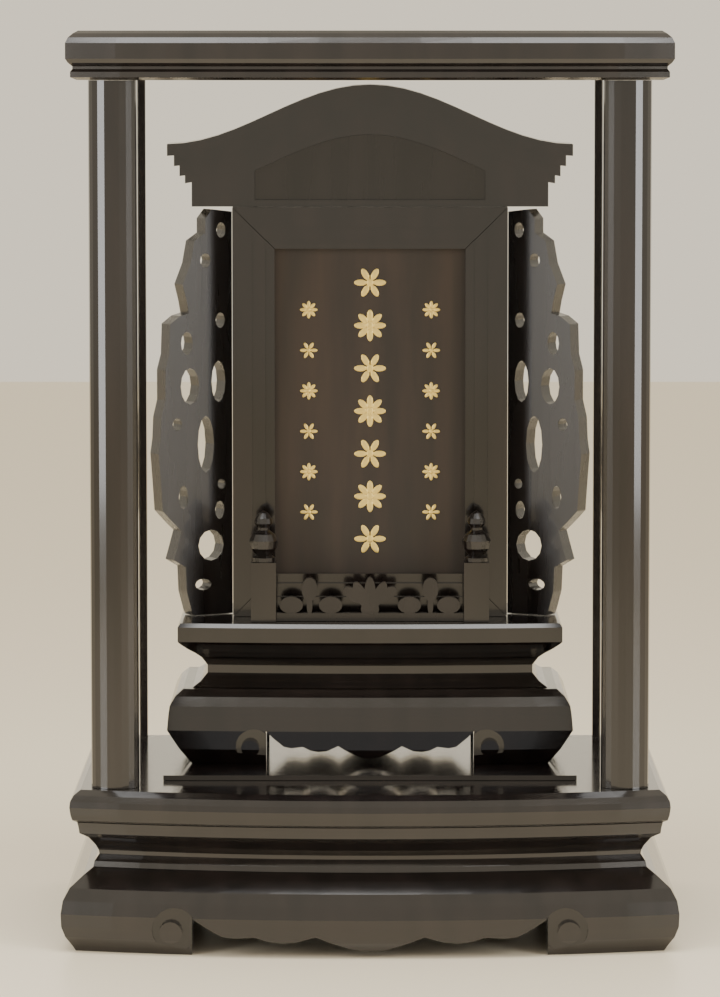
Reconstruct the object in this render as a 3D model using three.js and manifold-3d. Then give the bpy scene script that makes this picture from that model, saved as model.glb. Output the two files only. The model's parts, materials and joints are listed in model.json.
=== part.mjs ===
// Ancestor shrine: a glazed display case on a bow-fronted plinth, holding an ancestral tablet.
// Millimetres, +Z up, the front faces -Y.
import * as THREE from 'three';
import { mergeVertices } from 'three/addons/utils/BufferGeometryUtils.js';
import Module from 'manifold-3d';

const wasm = await Module();
wasm.setup();

// Driving dimensions of the case
const GAP = 0.3;
const HEIGHT = 680;
const HALF_WIDTH = 222.5;
const DEPTH = 305;
const BOW = 28;
const SKIRT_TOP = 61;
const WAIST_TOP = 96;
const PLATE_TOP = 120;
const FLOOR_TOP = 124;
const CAP_HEIGHT = 36;
const CAP_BOTTOM = HEIGHT - CAP_HEIGHT;
const POST_HALF_SPAN = 207;
const POST_WIDTH = 35.5;
const POST_DEPTH = 26;
const REAR_POST_WIDTH = 10;
const REAR_POST_X = 177;
const GLASS = 3;

// Driving dimensions of the tablet
const TABLET_FRONT = 105;
const TABLET_DEPTH = 140;
const TABLET_Z = FLOOR_TOP + GAP;
const SLAB_HALF = 146;
const BOX_HALF = 105;
const BOX_FRONT = 150;
const BOX_BACK = 214;
const TABLET_SKIRT_TOP = 58;
const SLAB_BOTTOM = 80;
const SLAB_TOP = 108;
const BOX_TOP = 422;
const CREST = 515;
const WING_THICKNESS = 14;
const WING_SCALE = 0.85;
const WING_SWEEP = THREE.MathUtils.degToRad(30);

const wood = (name, color, roughness) =>
  new THREE.MeshStandardMaterial({ name, color, roughness, metalness: 0 });
const LACQUER = wood('black_lacquer', 0x17100e, 0.2);
const SATIN = wood('satin_board', 0x261b12, 0.55);
const CARVED = wood('carved_wood', 0x1d1410, 0.35);
const PAPER = wood('name_slip', 0x8a6a44, 0.8);
const CLEAR = new THREE.MeshStandardMaterial({
  name: 'clear_glass', color: 0xe8f0ea, roughness: 0.05, metalness: 0, transparent: true, opacity: 0.25,
});

const shrine = new THREE.Group();

// Solids: three.js geometry to manifold and back
function toSolid(geometry) {
  const plain = geometry.clone();
  plain.deleteAttribute('normal');
  plain.deleteAttribute('uv');
  const merged = mergeVertices(plain, 1e-4);
  return new wasm.Manifold(new wasm.Mesh({
    numProp: 3,
    vertProperties: Float32Array.from(merged.attributes.position.array),
    triVerts: Uint32Array.from(merged.index.array),
  }));
}

function toGeometry(solid) {
  const mesh = solid.getMesh();
  const geometry = new THREE.BufferGeometry();
  geometry.setAttribute('position', new THREE.BufferAttribute(mesh.vertProperties, 3));
  geometry.setIndex(new THREE.BufferAttribute(mesh.triVerts, 1));
  const flat = geometry.toNonIndexed();
  flat.computeVertexNormals();
  return flat;
}

function addPiece(name, solid, material) {
  const mesh = new THREE.Mesh(toGeometry(solid), material);
  mesh.name = name;
  shrine.add(mesh);
}

function box(x0, x1, y0, y1, z0, z1) {
  const geometry = new THREE.BoxGeometry(x1 - x0, y1 - y0, z1 - z0);
  geometry.translate((x0 + x1) / 2, (y0 + y1) / 2, (z0 + z1) / 2);
  return toSolid(geometry);
}

// A shape drawn in X and Z, given a thickness from y0 to y1
function slabXZ(points, y0, y1) {
  const shape = new THREE.Shape(points.map(([x, z]) => new THREE.Vector2(x, z)));
  const geometry = new THREE.ExtrudeGeometry(shape, { depth: y1 - y0, bevelEnabled: false });
  geometry.rotateX(Math.PI / 2);
  geometry.translate(0, y1, 0);
  return toSolid(geometry);
}

// A shape drawn in X and Y, standing from z0 to z1
function column(points, z0, z1) {
  const shape = new THREE.Shape(points.map(([x, y]) => new THREE.Vector2(x, y)));
  const geometry = new THREE.ExtrudeGeometry(shape, { depth: z1 - z0, bevelEnabled: false });
  geometry.translate(0, 0, z0);
  return toSolid(geometry);
}

function ellipse(cx, cz, rx, rz, steps = 16) {
  const points = [];
  for (let i = 0; i < steps; i += 1) {
    const angle = (i / steps) * 2 * Math.PI;
    points.push([cx + rx * Math.cos(angle), cz + rz * Math.sin(angle)]);
  }
  return points;
}

function turned(profile, x, y, z, sides) {
  const geometry = new THREE.LatheGeometry(profile.map(([r, h]) => new THREE.Vector2(r, h)), sides);
  geometry.rotateX(Math.PI / 2);
  geometry.translate(x, y, z);
  return toSolid(geometry);
}

const mirrored = (points) => [...points, ...points.filter(([x]) => x !== 0).reverse().map(([x, z]) => [-x, z])];
const mirrorX = (solid) => solid.mirror([1, 0, 0]);

// Plan outline with a bowed front, and a loft of it through a profile of [height, offset]
function plan(half, front, back, bow) {
  const steps = 12;
  const points = [];
  for (let i = 0; i <= steps; i += 1) {
    const t = (2 * i) / steps - 1;
    points.push([t * half, front - bow * (1 - t * t)]);
  }
  points.push([half, back], [-half, back]);
  return points;
}

function loft(profile, half, front, back, bow) {
  const rings = profile.map(([z, offset]) =>
    plan(half + offset, front - offset, back + offset, bow).map(([x, y]) => [x, y, z]));
  const count = rings[0].length;
  const positions = rings.flat(2);
  const index = [];
  for (let r = 0; r + 1 < rings.length; r += 1) {
    for (let i = 0; i < count; i += 1) {
      const a = r * count + i;
      const b = r * count + ((i + 1) % count);
      index.push(a, b, b + count, a, b + count, a + count);
    }
  }
  const top = (rings.length - 1) * count;
  for (let i = 1; i + 1 < count; i += 1) {
    index.push(0, i + 1, i, top, top + i, top + i + 1);
  }
  const geometry = new THREE.BufferGeometry();
  geometry.setAttribute('position', new THREE.Float32BufferAttribute(positions, 3));
  geometry.setIndex(index);
  return toSolid(geometry);
}

// Skirt boards of a bombe base, mitred at the corners, with scalloped aprons and scroll feet
function skirt({ prefix, profile, half, front, back, bow, wall, apron, scroll, z, top }) {
  const outer = loft(profile, half, front, back, bow);
  const inner = loft([[-1, 0], [top + 1, 0]], half - wall, front + wall, back - wall, bow * 0.8);
  const sideScale = (back - front) / (2 * half);
  let body = outer.subtract(inner);
  body = body.subtract(slabXZ(apron, front - 80, front + wall + 10));
  body = body.subtract(slabXZ(apron, back - wall - 10, back + 80));
  const midY = (front + back) / 2;
  const sideCut = slabXZ(apron.map(([x, h]) => [x * sideScale * 0.9, h]), -half - 40, half + 40)
    .rotate([0, 0, 90]).translate([0, midY, 0]);
  body = body.subtract(sideCut.subtract(box(-half + wall + 10, half - wall - 10, front - 90, back + 90, -9, top)));
  for (const side of [-1, 1]) {
    const ring = slabXZ(ellipse(side * scroll.x, scroll.z, scroll.r, scroll.r, 20), front - 80, scroll.y)
      .subtract(slabXZ(ellipse(side * (scroll.x + 3), scroll.z - 2, scroll.r * 0.5, scroll.r * 0.5),
        front - 90, scroll.y + 9));
    body = body.subtract(ring);
  }
  const reach = half * 3;
  const corner = half - (back - front) / 2;
  const wedges = {
    front: [[-corner + GAP, midY], [corner - GAP, midY], [corner + reach - GAP, midY - reach],
      [-corner - reach + GAP, midY - reach]],
    back: [[-corner + GAP, midY], [-corner - reach + GAP, midY + reach], [corner + reach - GAP, midY + reach],
      [corner - GAP, midY]],
    left: [[-corner - GAP, midY], [-corner - reach - GAP, midY + reach], [-corner - reach - GAP, midY - reach]],
    right: [[corner + GAP, midY], [corner + reach + GAP, midY - reach], [corner + reach + GAP, midY + reach]],
  };
  for (const [name, wedge] of Object.entries(wedges)) {
    addPiece(`${prefix}_apron_${name}`, body.intersect(column(wedge, -2, top + 2)).translate([0, 0, z]), LACQUER);
  }
}

// Case plinth
const PLINTH_PROFILE = [[0, -4], [4.4, -1.5], [11.5, 3.3], [19.5, 6.1], [29, 6.5], [38.7, 4.9], [47.5, 0.1],
  [55.5, -9.5], [SKIRT_TOP - GAP, -16.7]];
const APRON_EDGE = mirrored([[-131.4, -2], [-131.4, 29], [-121.8, 22.7], [-109, 15.5], [-99.6, 14.2], [-85, 15.5],
  [-75.4, 12.3], [-65.8, 11], [-54.6, 11.8], [-40.2, 16.3], [-30.6, 12.3], [-14.6, 6.7], [0, 4.6]]);
skirt({
  prefix: 'plinth', profile: PLINTH_PROFILE, half: HALF_WIDTH, front: 0, back: DEPTH, bow: BOW, wall: 33,
  apron: APRON_EDGE, scroll: { x: 144, z: 19.5, r: 17, y: -16 }, z: 0, top: SKIRT_TOP,
});
const plinthFrame = loft([[SKIRT_TOP, -16.7], [65, -17.5], [70, -21], [73, -20.5], [77, -18.5], [83.5, -13.5],
  [87.5, -7], [91.5, -6.5], [WAIST_TOP - GAP, -5.5]], HALF_WIDTH, 0, DEPTH, BOW)
  .subtract(box(-170, 170, 36, DEPTH - 36, 50, 110));
addPiece('plinth_waist_frame', plinthFrame, LACQUER);
const plate = loft([[WAIST_TOP, -5.5], [98, -2], [102, -0.8], [107.5, 0], [112, -0.5], [116.3, -3], [PLATE_TOP, -8]],
  HALF_WIDTH, 0, DEPTH, BOW);
addPiece('plinth_top_board', plate, LACQUER);
const BLOCK = 22;
for (const [side, sx] of [['left', -1], ['right', 1]]) {
  for (const [end, y] of [['front', 34], ['back', DEPTH - 34 - BLOCK]]) {
    const x = sx * (HALF_WIDTH - 34 - BLOCK / 2);
    addPiece(`corner_block_${end}_${side}`, box(x - BLOCK / 2, x + BLOCK / 2, y, y + BLOCK, 20, SKIRT_TOP - GAP), SATIN);
  }
}

// Case posts, glass and floor
const POST_BOTTOM = PLATE_TOP + GAP;
const POST_TOP = CAP_BOTTOM - GAP;
const POST_FRONT = 9;
function postSection(side) {
  const points = [];
  for (let i = 0; i <= 10; i += 1) {
    const angle = Math.PI * (i / 10);
    points.push([side * (POST_HALF_SPAN - POST_WIDTH / 2) - (POST_WIDTH / 2) * Math.cos(angle),
      POST_FRONT + 11 - 11 * Math.sin(angle)]);
  }
  points.push([side * (POST_HALF_SPAN - POST_WIDTH / 2) + POST_WIDTH / 2, POST_FRONT + POST_DEPTH],
    [side * (POST_HALF_SPAN - POST_WIDTH / 2) - POST_WIDTH / 2, POST_FRONT + POST_DEPTH]);
  return points;
}
const REAR_Y = DEPTH - 22;
const GLASS_X = REAR_POST_X + 6;
for (const [side, s] of [['left', -1], ['right', 1]]) {
  addPiece(`front_post_${side}`, column(postSection(s), POST_BOTTOM, POST_TOP), LACQUER);
  const x = s * (REAR_POST_X + 5);
  addPiece(`rear_post_${side}`, box(x - REAR_POST_WIDTH / 2, x + REAR_POST_WIDTH / 2, REAR_Y, REAR_Y + 12,
    POST_BOTTOM, POST_TOP), LACQUER);
  const gx = s * GLASS_X;
  addPiece(`side_glass_${side}`, box(gx - GLASS / 2, gx + GLASS / 2, POST_FRONT + POST_DEPTH + GAP, REAR_Y - GAP,
    POST_BOTTOM, POST_TOP), CLEAR);
}
addPiece('back_glass', box(-REAR_POST_X + GAP, REAR_POST_X - GAP, REAR_Y + 4, REAR_Y + 4 + GLASS,
  POST_BOTTOM, POST_TOP), CLEAR);
addPiece('floor_board', box(-155, 155, 52, REAR_Y - 6, POST_BOTTOM, FLOOR_TOP), LACQUER);

// Case cap
const capProfile = [[0, -8], [2, -3.4], [6, -3.4], [8, -5], [10, -5], [12.5, -2], [15.5, 0], [27, 0], [31, -2],
  [34, -5.5], [CAP_HEIGHT, -9]].map(([z, offset]) => [CAP_BOTTOM + z, offset]);
const CAP_PANEL = 10;
const capRing = loft(capProfile, HALF_WIDTH, 0, DEPTH, BOW)
  .subtract(box(-165, 165, 40, DEPTH - 40, HEIGHT - CAP_PANEL, HEIGHT + 5));
addPiece('cap_frame', capRing, LACQUER);
addPiece('cap_panel', box(-165 + GAP, 165 - GAP, 40 + GAP, DEPTH - 40 - GAP, HEIGHT - CAP_PANEL + GAP, HEIGHT), LACQUER);

// Tablet base
const TABLET_BACK = TABLET_FRONT + TABLET_DEPTH;
const TABLET_BOW = 8;
const TABLET_PROFILE = [[0, -10], [12, -1], [27.4, 8], [38.9, 7], [45.7, 6], [52.6, 2], [TABLET_SKIRT_TOP - GAP, -4]];
const TABLET_APRON = APRON_EDGE.map(([x, h]) => [x * 0.6, h > 0 ? h * 0.95 : h]);
skirt({
  prefix: 'tablet', profile: TABLET_PROFILE, half: SLAB_HALF, front: TABLET_FRONT, back: TABLET_BACK, bow: TABLET_BOW,
  wall: 22, apron: TABLET_APRON, scroll: { x: 88, z: 15, r: 14, y: TABLET_FRONT - 1 }, z: TABLET_Z,
  top: TABLET_SKIRT_TOP,
});
addPiece('tablet_waist', loft([[TABLET_SKIRT_TOP, -11], [62, -17], [68, -22], [74, -22], [SLAB_BOTTOM - GAP, -18]],
  SLAB_HALF, TABLET_FRONT, TABLET_BACK, TABLET_BOW).translate([0, 0, TABLET_Z]), LACQUER);
addPiece('tablet_slab', loft([[SLAB_BOTTOM, -18], [84, -13], [88, -7], [92, -2], [94, 0], [105, 0], [SLAB_TOP, -2]],
  SLAB_HALF, TABLET_FRONT, TABLET_BACK, TABLET_BOW).translate([0, 0, TABLET_Z]), LACQUER);

// Newels, finials and the lotus balustrade
const NEWEL_X = 81;
const NEWEL_Y = 124;
const RAIL_Z = TABLET_Z + SLAB_TOP + GAP;
const NEWEL_HEIGHT = 45;
for (const [side, s] of [['left', -1], ['right', 1]]) {
  addPiece(`newel_${side}`, box(s * NEWEL_X - 9.5, s * NEWEL_X + 9.5, NEWEL_Y - 9.5, NEWEL_Y + 9.5,
    RAIL_Z, RAIL_Z + NEWEL_HEIGHT), LACQUER);
  addPiece(`finial_${side}`, turned([[0, 0], [9, 0], [9, 3], [6, 5], [10, 10], [11, 16], [8.5, 21], [4.5, 24],
    [4.5, 26], [7, 29], [6.5, 33], [3.5, 37], [0, 39]], s * NEWEL_X, NEWEL_Y, RAIL_Z + NEWEL_HEIGHT + GAP, 16), CARVED);
}
const RAIL_HALF = NEWEL_X - 9.5 - GAP;
const railParts = [box(-RAIL_HALF, RAIL_HALF, NEWEL_Y - 4, NEWEL_Y + 4, RAIL_Z, RAIL_Z + 6)];
const flat = (points) => slabXZ(points.map(([x, z]) => [x, RAIL_Z + z]), NEWEL_Y - 3.5, NEWEL_Y + 3.5);
for (const [x, lean, height] of [[0, 0, 19], [-7, 0.45, 15], [7, -0.45, 15], [-13, 0.95, 12], [13, -0.95, 12]]) {
  railParts.push(flat(ellipse(0, 0, 4.5, height / 1.4).map(([px, pz]) => [
    x + px * Math.cos(lean) - pz * Math.sin(lean), 20 + px * Math.sin(lean) + pz * Math.cos(lean)])));
}
for (const s of [-1, 1]) {
  railParts.push(flat(ellipse(s * 46, 24, 6, 9)));
  railParts.push(flat(ellipse(s * 46, 12, 2.2, 8)));
  railParts.push(flat(ellipse(s * 30, 12, 9, 6.5)));
  railParts.push(flat(ellipse(s * 60, 12, 9, 6.5)));
}
railParts.push(flat(ellipse(0, 9, 7, 6)));
addPiece('lotus_balustrade', railParts.reduce((a, b) => a.add(b)), CARVED);

// Name box: mitred frame, inscription board, casing, sliding back and the name slips
const BOX_BOTTOM_Z = RAIL_Z;
const BOX_TOP_Z = TABLET_Z + BOX_TOP;
const FRAME_FACE = 33;
const FRAME_DEPTH = 16;
const HALF_BOARD = BOX_HALF - FRAME_FACE;
const frameBody = box(-BOX_HALF, BOX_HALF, BOX_FRONT, BOX_FRONT + FRAME_DEPTH, BOX_BOTTOM_Z, BOX_TOP_Z);
function bevelHole() {
  const levels = [[BOX_FRONT - 1, 15], [BOX_FRONT + 4, 15], [BOX_FRONT + 4.01, 19], [BOX_FRONT + 9, 31],
    [BOX_FRONT + FRAME_DEPTH + 1, FRAME_FACE]];
  return levels.slice(1).map(([y1, inset1], i) => {
    const [y0, inset0] = levels[i];
    const inset = (inset0 + inset1) / 2;
    return box(-BOX_HALF + inset, BOX_HALF - inset, y0, y1 + 0.02, BOX_BOTTOM_Z + inset, BOX_TOP_Z - inset);
  }).reduce((a, b) => a.add(b));
}
const frameRing = frameBody.subtract(bevelHole());
const midZ = (BOX_BOTTOM_Z + BOX_TOP_Z) / 2;
const halfH = (BOX_TOP_Z - BOX_BOTTOM_Z) / 2;
const ridge = halfH - BOX_HALF;
const frameWedges = {
  frame_stile_left: [[-GAP, midZ - ridge], [-GAP, midZ + ridge], [-400, midZ + ridge + 400], [-400, midZ - ridge - 400]],
  frame_stile_right: [[GAP, midZ + ridge], [GAP, midZ - ridge], [400, midZ - ridge - 400], [400, midZ + ridge + 400]],
  frame_rail_top: [[0, midZ + ridge + GAP], [400, midZ + ridge + 400 + GAP], [-400, midZ + ridge + 400 + GAP]],
  frame_rail_bottom: [[0, midZ - ridge - GAP], [-400, midZ - ridge - 400 - GAP], [400, midZ - ridge - 400 - GAP]],
};
for (const [name, wedge] of Object.entries(frameWedges)) {
  addPiece(name, frameRing.intersect(slabXZ(wedge, BOX_FRONT - 5, BOX_FRONT + 40)), LACQUER);
}
const BOARD_Y = BOX_FRONT + FRAME_DEPTH + GAP;
const CASE_WALL = 8;
addPiece('inscription_board', box(-HALF_BOARD - 6, HALF_BOARD + 6, BOARD_Y, BOARD_Y + 6,
  BOX_BOTTOM_Z + FRAME_FACE - 6, BOX_TOP_Z - FRAME_FACE + 6), SATIN);
for (const [side, s] of [['left', -1], ['right', 1]]) {
  const x = s * (BOX_HALF - CASE_WALL / 2);
  const wall = box(x - CASE_WALL / 2, x + CASE_WALL / 2, BOARD_Y, BOX_BACK, BOX_BOTTOM_Z, BOX_TOP_Z)
    .subtract(box(s * (BOX_HALF - CASE_WALL) - 4, s * (BOX_HALF - CASE_WALL) + 4, BOX_BACK - 11, BOX_BACK - 4,
      BOX_BOTTOM_Z - 1, BOX_TOP_Z + 1));
  addPiece(`box_side_${side}`, wall, LACQUER);
}
const INNER = BOX_HALF - CASE_WALL - GAP;
addPiece('box_bottom', box(-INNER, INNER, BOARD_Y, BOX_BACK - 12, BOX_BOTTOM_Z, BOX_BOTTOM_Z + 8), LACQUER);
addPiece('box_top', box(-INNER, INNER, BOARD_Y, BOX_BACK - 12, BOX_TOP_Z - 8, BOX_TOP_Z), LACQUER);
addPiece('sliding_back_board', box(-INNER - 3, INNER + 3, BOX_BACK - 10, BOX_BACK - 5,
  BOX_BOTTOM_Z + GAP, BOX_TOP_Z - 1), SATIN);
for (let i = 0; i < 4; i += 1) {
  const y = BOARD_Y + 8 + i * 5;
  addPiece(`name_slip_${i + 1}`, box(-42, 42, y, y + 4, BOX_BOTTOM_Z + 8 + GAP, BOX_BOTTOM_Z + 230), PAPER);
}

// Roof: reeded bands that follow a brace-shaped crest, and the carved lotus panel
const ROOF_FRONT = 138;
const ROOF_BACK = BOX_BACK - 13;
const ROOF_Z = TABLET_Z + BOX_TOP + GAP;
const ROOF_TIP = 470 - BOX_TOP;
const ROOF_CREST = CREST - BOX_TOP;
const crest = (x, half) => ROOF_TIP + (ROOF_CREST - ROOF_TIP)
  * (0.5 + 0.5 * Math.cos(Math.PI * Math.min(1, Math.abs(x) / half)));
function crestLine(half, drop) {
  const steps = 24;
  return Array.from({ length: steps + 1 }, (_, i) => {
    const x = half * ((2 * i) / steps - 1);
    return [x, ROOF_Z + crest(x, 154) - drop];
  });
}
const BANDS = [[154, 0, 9, 0], [149, 8, 17, 6], [145, 16, 25, 11], [141, 24, 31, 15]];
const roofParts = BANDS.map(([half, d0, d1, back]) => slabXZ(
  [...crestLine(half, d0).reverse(), ...crestLine(half, d1)], ROOF_FRONT + back, ROOF_BACK));
roofParts.push(slabXZ([[-136, ROOF_Z], [136, ROOF_Z], ...crestLine(136, 30).reverse()], ROOF_FRONT + 18, ROOF_BACK));
const PANEL_HALF = 88;
const panelOutline = (inset) => [[-PANEL_HALF + inset, ROOF_Z + 5 + inset], [PANEL_HALF - inset, ROOF_Z + 5 + inset],
  ...crestLine(PANEL_HALF - inset, 38 + inset).reverse()];
const roof = roofParts.reduce((a, b) => a.add(b))
  .subtract(slabXZ(panelOutline(0), ROOF_FRONT, ROOF_FRONT + 26));
addPiece('roof_board', roof, LACQUER);
addPiece('carved_roof_panel', slabXZ(panelOutline(GAP), ROOF_FRONT + 21, ROOF_FRONT + 26 - GAP), CARVED);

// Openwork wings, drawn flat as distances out from the box side and heights above the tablet's foot
const WING_OUTLINE = [[0, 418], [20, 420], [27, 413], [27, 402], [38, 396], [42, 379], [50, 363], [46, 350],
  [44, 341], [53, 339], [63, 333], [64, 310], [68, 298], [68, 275], [72, 262], [73, 245], [75, 234], [73, 213],
  [71, 190], [62, 182], [52, 174], [57, 160], [60, 152], [48, 146], [47, 127], [42, 112], [40, 108.5], [0, 108.5]];
const WING_HOLES = [[11, 404, 4, 6], [27, 381, 4.5, 5.5], [12, 335, 4, 6], [46, 318, 5, 9], [43, 285, 8, 14],
  [14, 288, 6, 16], [56, 256, 4, 5], [27, 240, 7, 22], [50, 200, 4, 9], [11, 209, 3.5, 4], [13, 189, 4, 7],
  [22, 162, 11, 12], [30, 132, 7, 4.5]];
function wing() {
  let solid = slabXZ(WING_OUTLINE.map(([x, z]) => [-x * WING_SCALE, z]), 0, WING_THICKNESS);
  for (const [x, z, rx, rz] of WING_HOLES) {
    solid = solid.subtract(slabXZ(ellipse(-x * WING_SCALE, z, rx, rz, 12), -1, WING_THICKNESS + 1));
  }
  return solid.rotate([0, 0, THREE.MathUtils.radToDeg(WING_SWEEP)])
    .translate([-BOX_HALF - 1, BOX_FRONT + 22, TABLET_Z]);
}
const leftWing = wing();
addPiece('wing_left', leftWing, CARVED);
addPiece('wing_right', mirrorX(leftWing), CARVED);

// The origin is at the middle of the footprint
const extent = new THREE.Box3().setFromObject(shrine);
shrine.position.y = -(extent.min.y + extent.max.y) / 2;

export default shrine;
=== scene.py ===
import json
import math

import bpy
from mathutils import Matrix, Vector


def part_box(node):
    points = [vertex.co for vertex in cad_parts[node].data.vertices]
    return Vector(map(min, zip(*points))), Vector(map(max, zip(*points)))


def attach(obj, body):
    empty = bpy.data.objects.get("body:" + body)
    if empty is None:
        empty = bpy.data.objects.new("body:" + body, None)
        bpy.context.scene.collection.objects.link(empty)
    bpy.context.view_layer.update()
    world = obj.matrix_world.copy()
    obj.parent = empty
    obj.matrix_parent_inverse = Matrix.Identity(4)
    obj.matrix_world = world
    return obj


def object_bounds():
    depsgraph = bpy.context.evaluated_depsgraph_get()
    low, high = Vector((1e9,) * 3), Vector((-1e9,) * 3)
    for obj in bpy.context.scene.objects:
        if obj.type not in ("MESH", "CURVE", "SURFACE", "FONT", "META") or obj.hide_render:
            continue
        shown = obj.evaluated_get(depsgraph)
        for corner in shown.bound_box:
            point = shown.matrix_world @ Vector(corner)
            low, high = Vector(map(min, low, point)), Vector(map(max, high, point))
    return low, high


bl_info = {
    "name": "Ancestor Shrine",
    "version": (1, 0, 0),
    "blender": (4, 5, 0),
    "location": "3D View > Sidebar > Shrine",
    "description": "Finishes, gilded ornament and studio for a cased ancestral tablet",
    "category": "Object",
}

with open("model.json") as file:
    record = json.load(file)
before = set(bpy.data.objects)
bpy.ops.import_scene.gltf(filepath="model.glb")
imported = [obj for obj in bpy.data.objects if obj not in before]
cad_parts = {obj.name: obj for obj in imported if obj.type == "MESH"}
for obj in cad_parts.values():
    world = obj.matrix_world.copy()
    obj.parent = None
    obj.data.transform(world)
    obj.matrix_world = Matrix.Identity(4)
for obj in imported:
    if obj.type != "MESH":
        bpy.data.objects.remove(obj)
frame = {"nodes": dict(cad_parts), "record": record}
CAD_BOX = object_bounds()

# Corners of the nodes that the ornament and the camera are placed by, in metres
BOARD_LOW, BOARD_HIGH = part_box("inscription_board")
CASE_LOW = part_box("plinth_top_board")[0]
FOOT_LOW, FOOT_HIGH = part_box("plinth_apron_front")
CAP_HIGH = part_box("cap_frame")[1]

# The photograph's frame, the shrine's centre line in it and the plinth's width, in pixels
PHOTO_WIDTH = 720
PHOTO_HEIGHT = 997
CENTRE_X = 370
PLINTH_WIDTH = 627

# Wood grain: noise scale, stretch along the boards, and the ends of its tone and gloss
GRAIN_SCALE = 60
GRAIN_DETAIL = 6
GRAIN_STRETCH = (1.0, 1.0, 0.12)
GRAIN_DARK_AT = 0.35
GRAIN_LIGHT_AT = 0.7
GRAIN_DARK = 0.6
GRAIN_LIGHT = 1.5
GLOSS_LOW = 0.85
GLOSS_HIGH = 1.25
BUMP_STRENGTH = 0.15
FINE_GRAIN = 0.0002
OPEN_GRAIN = 0.0004
COAT_ROUGHNESS = 0.08
SLIP_COLOR = (0.2, 0.12, 0.05)

# Gilding
GOLD_SPECK_SCALE = 400
GOLD_DARK = 0.75
GOLD_METALLIC = 0.55
GOLD_ROUGHNESS = 0.38

# Rosettes: parts of a flower as shares of its radius, and its relief in metres
PETAL_REACH = 0.58
PETAL_LENGTH = 0.4
PETAL_WIDTH = 0.2
PETAL_RELIEF = 0.0006
BOSS_RADIUS = 0.24
BOSS_RELIEF = 0.0008
PROUD = 0.0004
FEW_PETALS = 6
MANY_PETALS = 8

# Columns of rosettes: place across the board, lowest and highest share of its height, count, radius
COLUMNS = (
    (0, 0.12, 0.88, 7, 0.0125),
    (-0.047, 0.2, 0.8, 6, 0.007),
    (0.047, 0.2, 0.8, 6, 0.007),
)

# Studio, in metres
FLOOR_SIZE = 12
FLOOR_COLOR = (0.9, 0.8, 0.62, 1)
FLOOR_ROUGHNESS = 0.35
SKY_COLOR = (1.0, 0.9, 0.72, 1)
SKY_STRENGTH = 1.05
AIM = (0, 0, 0.34)
SIDE_SOFTBOX = (0.7, 1.6)
TOP_SOFTBOX = (1.6, 0.9)
SOFTBOXES = (
    ("left_softbox", (-1.6, -1.6, 0.9), SIDE_SOFTBOX),
    ("right_softbox", (1.6, -1.6, 0.9), SIDE_SOFTBOX),
    ("top_softbox", (0, -0.6, 2.0), TOP_SOFTBOX),
)
CAMERA_PITCH = math.radians(5.3)
SENSOR_HEIGHT = 24


class FinishSettings(bpy.types.PropertyGroup):
    """Colours of the wood and of the gilding"""

    lacquer: bpy.props.FloatVectorProperty(
        name="Lacquer", description="Colour of the gloss black-brown wood",
        subtype="COLOR", default=(0.0055, 0.0035, 0.003))
    board: bpy.props.FloatVectorProperty(
        name="Board", description="Colour of the satin inscription board",
        subtype="COLOR", default=(0.019, 0.011, 0.006))
    gold: bpy.props.FloatVectorProperty(
        name="Gold", description="Colour of the gilded ornament",
        subtype="COLOR", default=(0.86, 0.64, 0.2))


class StudioSettings(bpy.types.PropertyGroup):
    """Camera distance and the lights' strength"""

    distance: bpy.props.FloatProperty(
        name="Camera distance", description="From the middle of the case's front to the camera",
        unit="LENGTH", default=3.6)
    key: bpy.props.FloatProperty(
        name="Softboxes", description="Power of each softbox in watts", default=28.0)


def principled(name):
    """A new material and its shader"""
    material = bpy.data.materials.new(name)
    material.use_nodes = True
    return material, material.node_tree.nodes["Principled BSDF"]


def noise(material, scale, stretch):
    """A noise texture in object space"""
    nodes = material.node_tree.nodes
    links = material.node_tree.links
    coordinates = nodes.new("ShaderNodeTexCoord")
    mapping = nodes.new("ShaderNodeMapping")
    mapping.inputs["Scale"].default_value = stretch
    texture = nodes.new("ShaderNodeTexNoise")
    texture.inputs["Scale"].default_value = scale
    texture.inputs["Detail"].default_value = GRAIN_DETAIL
    links.new(coordinates.outputs["Object"], mapping.inputs["Vector"])
    links.new(mapping.outputs["Vector"], texture.inputs["Vector"])
    return texture


def shade(color, share):
    """A colour made darker or lighter, with its alpha"""
    return (*[channel * share for channel in color], 1)


def grained_wood(name, color, roughness, coat, bump_height):
    """Wood with a fine grain that varies its colour, gloss and surface"""
    material, shader = principled(name)
    nodes = material.node_tree.nodes
    links = material.node_tree.links
    texture = noise(material, GRAIN_SCALE, GRAIN_STRETCH)
    ramp = nodes.new("ShaderNodeValToRGB")
    dark, light = ramp.color_ramp.elements
    dark.position = GRAIN_DARK_AT
    dark.color = shade(color, GRAIN_DARK)
    light.position = GRAIN_LIGHT_AT
    light.color = shade(color, GRAIN_LIGHT)
    links.new(texture.outputs["Fac"], ramp.inputs["Fac"])
    links.new(ramp.outputs["Color"], shader.inputs["Base Color"])
    gloss = nodes.new("ShaderNodeMapRange")
    gloss.inputs["To Min"].default_value = roughness * GLOSS_LOW
    gloss.inputs["To Max"].default_value = roughness * GLOSS_HIGH
    links.new(texture.outputs["Fac"], gloss.inputs["Value"])
    links.new(gloss.outputs["Result"], shader.inputs["Roughness"])
    bump = nodes.new("ShaderNodeBump")
    bump.inputs["Strength"].default_value = BUMP_STRENGTH
    bump.inputs["Distance"].default_value = bump_height
    links.new(texture.outputs["Fac"], bump.inputs["Height"])
    links.new(bump.outputs["Normal"], shader.inputs["Normal"])
    shader.inputs["Coat Weight"].default_value = coat
    shader.inputs["Coat Roughness"].default_value = COAT_ROUGHNESS
    return material


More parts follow.
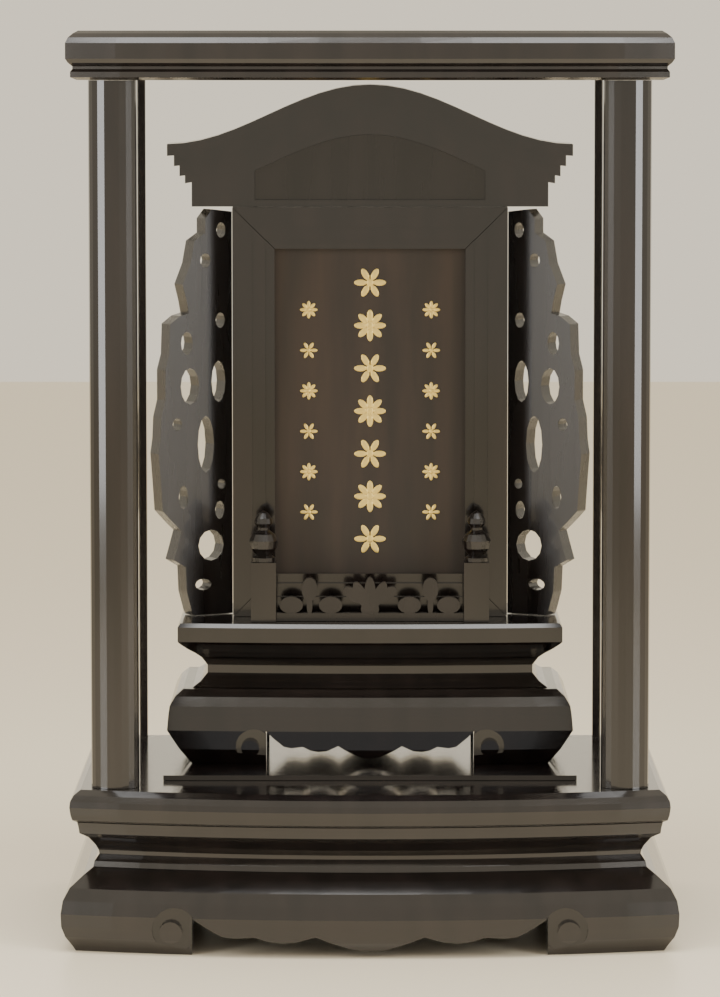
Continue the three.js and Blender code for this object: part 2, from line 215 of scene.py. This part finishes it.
def gilding(color):
    """Burnished gold paint, a little uneven"""
    material, shader = principled("gilding")
    links = material.node_tree.links
    texture = noise(material, GOLD_SPECK_SCALE, (1.0, 1.0, 1.0))
    ramp = material.node_tree.nodes.new("ShaderNodeValToRGB")
    dark, light = ramp.color_ramp.elements
    dark.color = shade(color, GOLD_DARK)
    light.color = shade(color, 1)
    links.new(texture.outputs["Fac"], ramp.inputs["Fac"])
    links.new(ramp.outputs["Color"], shader.inputs["Base Color"])
    shader.inputs["Metallic"].default_value = GOLD_METALLIC
    shader.inputs["Roughness"].default_value = GOLD_ROUGHNESS
    return material


def clear_glass():
    """Thin clear glass with a trace of green"""
    material, shader = principled("clear_glass")
    shader.inputs["Base Color"].default_value = (0.93, 0.97, 0.94, 1)
    shader.inputs["Roughness"].default_value = 0.02
    shader.inputs["Transmission Weight"].default_value = 1.0
    shader.inputs["IOR"].default_value = 1.08
    shader.inputs["Alpha"].default_value = 0.12
    return material


class SHRINE_OT_finishes(bpy.types.Operator):
    """Gives every board, carving and pane its finish"""

    bl_idname = "shrine.finishes"
    bl_label = "Finishes"

    def execute(self, context):
        settings = context.scene.shrine_finish
        by_slot = {
            "black_lacquer": grained_wood("black_lacquer", settings.lacquer, 0.16, 0.6, FINE_GRAIN),
            "carved_wood": grained_wood("carved_wood", settings.lacquer, 0.26, 0.4, OPEN_GRAIN),
            "satin_board": grained_wood("satin_board", settings.board, 0.5, 0.0, OPEN_GRAIN),
            "name_slip": grained_wood("name_slip", SLIP_COLOR, 0.7, 0.0, OPEN_GRAIN),
            "clear_glass": clear_glass(),
        }
        for part in frame["record"]["subparts"]:
            node = frame["nodes"][part["node"]]
            node.data.materials.clear()
            node.data.materials.append(by_slot[part["material_slot"]])
        return {"FINISHED"}


def dome(place, scale, turn):
    """A flattened dome, one petal or boss of a rosette"""
    bpy.ops.mesh.primitive_uv_sphere_add(segments=12, ring_count=6, radius=1, location=place)
    piece = bpy.context.object
    piece.scale = scale
    piece.rotation_euler = (0, -turn, 0)
    return piece


def rosette(name, centre, radius, petals, material):
    """A gilded flower of raised petals round a boss"""
    bpy.ops.object.select_all(action="DESELECT")
    x, y, z = centre
    reach = radius * PETAL_REACH
    petal_scale = (radius * PETAL_LENGTH, PETAL_RELIEF, radius * PETAL_WIDTH)
    boss_scale = (radius * BOSS_RADIUS, BOSS_RELIEF, radius * BOSS_RADIUS)
    made = []
    for i in range(petals):
        angle = 2 * math.pi * i / petals
        place = (x + reach * math.cos(angle), y, z + reach * math.sin(angle))
        made.append(dome(place, petal_scale, angle))
    made.append(dome(centre, boss_scale, 0))
    for piece in made:
        piece.select_set(True)
    bpy.context.view_layer.objects.active = made[0]
    bpy.ops.object.join()
    flower = bpy.context.object
    flower.name = name
    bpy.ops.object.transform_apply(location=True, rotation=True, scale=True)
    flower.data.materials.clear()
    flower.data.materials.append(material)
    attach(flower, "tablet")


class SHRINE_OT_ornament(bpy.types.Operator):
    """Sets columns of plain gilded rosettes on the inscription board"""

    bl_idname = "shrine.ornament"
    bl_label = "Gilded rosettes"

    def execute(self, context):
        gold = gilding(context.scene.shrine_finish.gold)
        face = BOARD_LOW[1] - PROUD
        height = BOARD_HIGH[2] - BOARD_LOW[2]
        for column, (x, low, high, count, radius) in enumerate(COLUMNS, 1):
            for row in range(count):
                share = low + (high - low) * row / (count - 1)
                petals = MANY_PETALS if row % 2 else FEW_PETALS
                centre = (x, face, BOARD_LOW[2] + share * height)
                rosette(f"rosette_{column}_{row + 1}", centre, radius, petals, gold)
        return {"FINISHED"}


def area_light(name, place, size, power):
    """A softbox that faces the middle of the shrine"""
    light = bpy.data.lights.new(name, "AREA")
    light.shape = "RECTANGLE"
    light.size, light.size_y = size
    light.energy = power
    lamp = bpy.data.objects.new(name, light)
    lamp.location = place
    lamp.rotation_euler = (Vector(AIM) - Vector(place)).to_track_quat("-Z", "Y").to_euler()
    bpy.context.scene.collection.objects.link(lamp)


def floor_plane():
    """The plain pale floor"""
    bpy.ops.object.select_all(action="DESELECT")
    bpy.ops.mesh.primitive_plane_add(size=FLOOR_SIZE, location=(0, 0, CAD_BOX[0][2]))
    floor = bpy.context.object
    floor.name = "floor"
    material, shader = principled("studio_floor")
    shader.inputs["Base Color"].default_value = FLOOR_COLOR
    shader.inputs["Roughness"].default_value = FLOOR_ROUGHNESS
    floor.data.materials.append(material)


def studio_sky():
    """Even warm light from all round"""
    world = bpy.data.worlds.new("studio")
    world.use_nodes = True
    background = world.node_tree.nodes["Background"]
    background.inputs["Color"].default_value = SKY_COLOR
    background.inputs["Strength"].default_value = SKY_STRENGTH
    bpy.context.scene.world = world


def front_camera(distance):
    """A camera that sees the shrine at the photograph's angle and size"""
    pixel = (FOOT_HIGH[0] - FOOT_LOW[0]) / PLINTH_WIDTH
    camera = bpy.data.cameras.new("camera")
    camera.sensor_fit = "VERTICAL"
    camera.sensor_height = SENSOR_HEIGHT
    camera.lens = distance / pixel / PHOTO_HEIGHT * SENSOR_HEIGHT
    camera.shift_x = -(CENTRE_X - PHOTO_WIDTH / 2) / PHOTO_HEIGHT
    holder = bpy.data.objects.new("camera", camera)
    target = Vector((0, CASE_LOW[1], (CAP_HIGH[2] - FOOT_LOW[2]) / 2))
    back = Vector((0, -math.cos(CAMERA_PITCH), math.sin(CAMERA_PITCH)))
    holder.location = target + back * distance
    holder.rotation_euler = (-back).to_track_quat("-Z", "Y").to_euler()
    bpy.context.scene.collection.objects.link(holder)
    bpy.context.scene.camera = holder


class SHRINE_OT_stage(bpy.types.Operator):
    """Floor, soft light and the camera"""

    bl_idname = "shrine.stage"
    bl_label = "Studio"

    def execute(self, context):
        settings = context.scene.shrine_studio
        floor_plane()
        studio_sky()
        for name, place, size in SOFTBOXES:
            area_light(name, place, size, settings.key)
        front_camera(settings.distance)
        return {"FINISHED"}


class SHRINE_PT_panel(bpy.types.Panel):
    """Lists the shrine's steps in the 3D view's sidebar"""

    bl_idname = "SHRINE_PT_panel"
    bl_label = "Ancestor Shrine"
    bl_space_type = "VIEW_3D"
    bl_region_type = "UI"
    bl_category = "Shrine"

    def draw(self, context):
        for step in (SHRINE_OT_finishes, SHRINE_OT_ornament, SHRINE_OT_stage):
            self.layout.operator(step.bl_idname)


CLASSES = (
    FinishSettings,
    StudioSettings,
    SHRINE_OT_finishes,
    SHRINE_OT_ornament,
    SHRINE_OT_stage,
    SHRINE_PT_panel,
)


def register():
    for item in CLASSES:
        bpy.utils.register_class(item)
    bpy.types.Scene.shrine_finish = bpy.props.PointerProperty(type=FinishSettings)
    bpy.types.Scene.shrine_studio = bpy.props.PointerProperty(type=StudioSettings)


def unregister():
    del bpy.types.Scene.shrine_studio
    del bpy.types.Scene.shrine_finish
    for item in reversed(CLASSES):
        bpy.utils.unregister_class(item)


def main():
    register()
    bpy.ops.shrine.finishes()
    bpy.ops.shrine.ornament()
    bpy.ops.shrine.stage()


if __name__ == "__main__":
    main()
